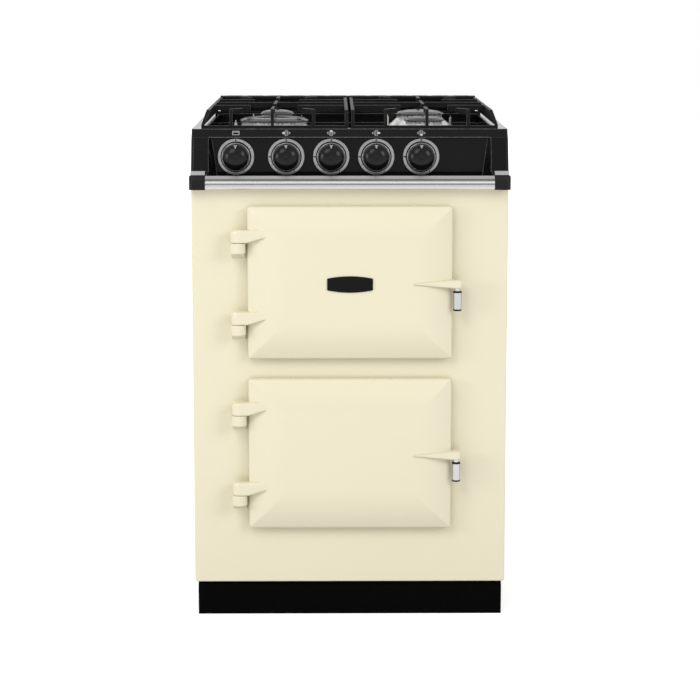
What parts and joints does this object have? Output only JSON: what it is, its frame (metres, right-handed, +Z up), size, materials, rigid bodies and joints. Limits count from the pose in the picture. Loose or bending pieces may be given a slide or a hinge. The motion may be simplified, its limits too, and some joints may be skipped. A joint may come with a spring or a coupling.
{
  "type": "range cooker",
  "caption": "Free-standing dual fuel range cooker with side-hung cast oven doors, a sunk knob panel and a gas hob under lift-off pan supports.",
  "frame": {"origin": "on the floor, at the middle of the cooker's bounding box seen from above", "axes": "+Z up, +X to the right as seen by someone facing the cooker, +Y from the front of the cooker to its back"},
  "size_m": [0.602, 0.6414, 0.972],
  "materials": {
    "cream_enamel": "gloss vitreous enamel, cream",
    "black_enamel": "gloss vitreous enamel, black",
    "brushed_steel": "brushed along its length",
    "chrome": "polished",
    "black_iron": "enamelled satin black",
    "bright_alloy": "machined",
    "zinc_sheet": "zinc coated",
    "oven_enamel": "dark speckled enamel",
    "mineral_fibre": "matt fibre blanket",
    "rope_seal": "woven glass fibre",
    "brass": "machined",
    "plain_steel": "turned",
    "knob_black": "gloss",
    "black_moulding": "satin",
    "element_sheath": "heat darkened",
    "white_ceramic": "unglazed"
  },
  "bodies": {
    "casing": {"plinth_front": "black_enamel", "plinth_sides": "black_enamel", "levelling_feet": "plain_steel", "base_pan": "zinc_sheet", "left_side_panel": "cream_enamel", "right_side_panel": "cream_enamel", "back_panel": "zinc_sheet", "front_plate": "cream_enamel", "hinge_lugs": "cream_enamel", "hinge_pins": "plain_steel", "burner_box_floor": "zinc_sheet", "front_rail": "brushed_steel", "rail_end_caps": "black_moulding", "control_fascia": "black_enamel", "dial_bezels": "chrome", "hob_tray": "black_enamel", "rear_vent_trim": "black_enamel", "upper_oven_liner": "oven_enamel", "lower_oven_liner": "oven_enamel", "oven_insulation": "mineral_fibre", "oven_crossbars": "zinc_sheet", "shelf_runners": "chrome", "oven_shelves": "chrome", "oven_elements": "element_sheath", "gas_manifold": "plain_steel", "gas_inlet": "brass", "gas_taps": "brass", "burner_feed_pipes": "bright_alloy", "burner_cups": "bright_alloy", "spark_electrodes": "white_ceramic", "flame_sensors": "plain_steel", "spark_generator": "black_moulding", "mains_terminal_box": "black_moulding", "oven_control": "plain_steel", "burner_crowns": "bright_alloy", "burner_caps": "black_enamel"},
    "upper_oven_door": {"upper_door": "cream_enamel", "upper_door_liner": "oven_enamel", "upper_door_insulation": "mineral_fibre", "upper_door_seal": "rope_seal", "upper_handle_grip": "chrome", "badge_plate": "black_enamel"},
    "lower_oven_door": {"lower_door": "cream_enamel", "lower_door_liner": "oven_enamel", "lower_door_insulation": "mineral_fibre", "lower_door_seal": "rope_seal", "lower_handle_grip": "chrome"},
    "left_support": {"left_pan_support": "black_iron"},
    "right_support": {"right_pan_support": "black_iron"},
    "oven_dial": {"oven_knob": "knob_black", "oven_spindle": "plain_steel"},
    "front_left_stem": {"front_left_spindle": "plain_steel"},
    "front_left_dial": {"front_left_knob": "knob_black"},
    "rear_left_stem": {"rear_left_spindle": "plain_steel"},
    "rear_left_dial": {"rear_left_knob": "knob_black"},
    "rear_right_stem": {"rear_right_spindle": "plain_steel"},
    "rear_right_dial": {"rear_right_knob": "knob_black"},
    "front_right_stem": {"front_right_spindle": "plain_steel"},
    "front_right_dial": {"front_right_knob": "knob_black"}
  },
  "joints": [
    {"name": "upper_door_hinge", "type": "hinge", "parent": "casing", "child": "upper_oven_door", "pos_m": [-0.2105, -0.30625, 0.65], "axis": [0, 0, -1], "range_deg": [0, 130]},
    {"name": "lower_door_hinge", "type": "hinge", "parent": "casing", "child": "lower_oven_door", "pos_m": [-0.2105, -0.30625, 0.321], "axis": [0, 0, -1], "range_deg": [0, 130]},
    {"name": "oven_dial_turn", "type": "hinge", "parent": "casing", "child": "oven_dial", "pos_m": [-0.215, -0.25925, 0.884], "axis": [0, 1, 0], "range_deg": [0, 270]},
    {"name": "front_left_push", "type": "slide", "parent": "casing", "child": "front_left_stem", "axis": [0, 1, 0], "range_m": [0, 0.003], "stiffness_N_per_m": 600},
    {"name": "front_left_turn", "type": "hinge", "parent": "front_left_stem", "child": "front_left_dial", "pos_m": [-0.12, -0.25925, 0.884], "axis": [0, -1, 0], "range_deg": [0, 210]},
    {"name": "rear_left_push", "type": "slide", "parent": "casing", "child": "rear_left_stem", "axis": [0, 1, 0], "range_m": [0, 0.003], "stiffness_N_per_m": 600},
    {"name": "rear_left_turn", "type": "hinge", "parent": "rear_left_stem", "child": "rear_left_dial", "pos_m": [-0.035, -0.25925, 0.884], "axis": [0, -1, 0], "range_deg": [0, 210]},
    {"name": "rear_right_push", "type": "slide", "parent": "casing", "child": "rear_right_stem", "axis": [0, 1, 0], "range_m": [0, 0.003], "stiffness_N_per_m": 600},
    {"name": "rear_right_turn", "type": "hinge", "parent": "rear_right_stem", "child": "rear_right_dial", "pos_m": [0.05, -0.25925, 0.884], "axis": [0, -1, 0], "range_deg": [0, 210]},
    {"name": "front_right_push", "type": "slide", "parent": "casing", "child": "front_right_stem", "axis": [0, 1, 0], "range_m": [0, 0.003], "stiffness_N_per_m": 600},
    {"name": "front_right_turn", "type": "hinge", "parent": "front_right_stem", "child": "front_right_dial", "pos_m": [0.135, -0.25925, 0.884], "axis": [0, -1, 0], "range_deg": [0, 210]},
    {"name": "left_support_lift", "type": "slide", "parent": "casing", "child": "left_support", "axis": [0, 0, 1], "range_m": [0, 0.15]},
    {"name": "right_support_lift", "type": "slide", "parent": "casing", "child": "right_support", "axis": [0, 0, 1], "range_m": [0, 0.15]}
  ]
}
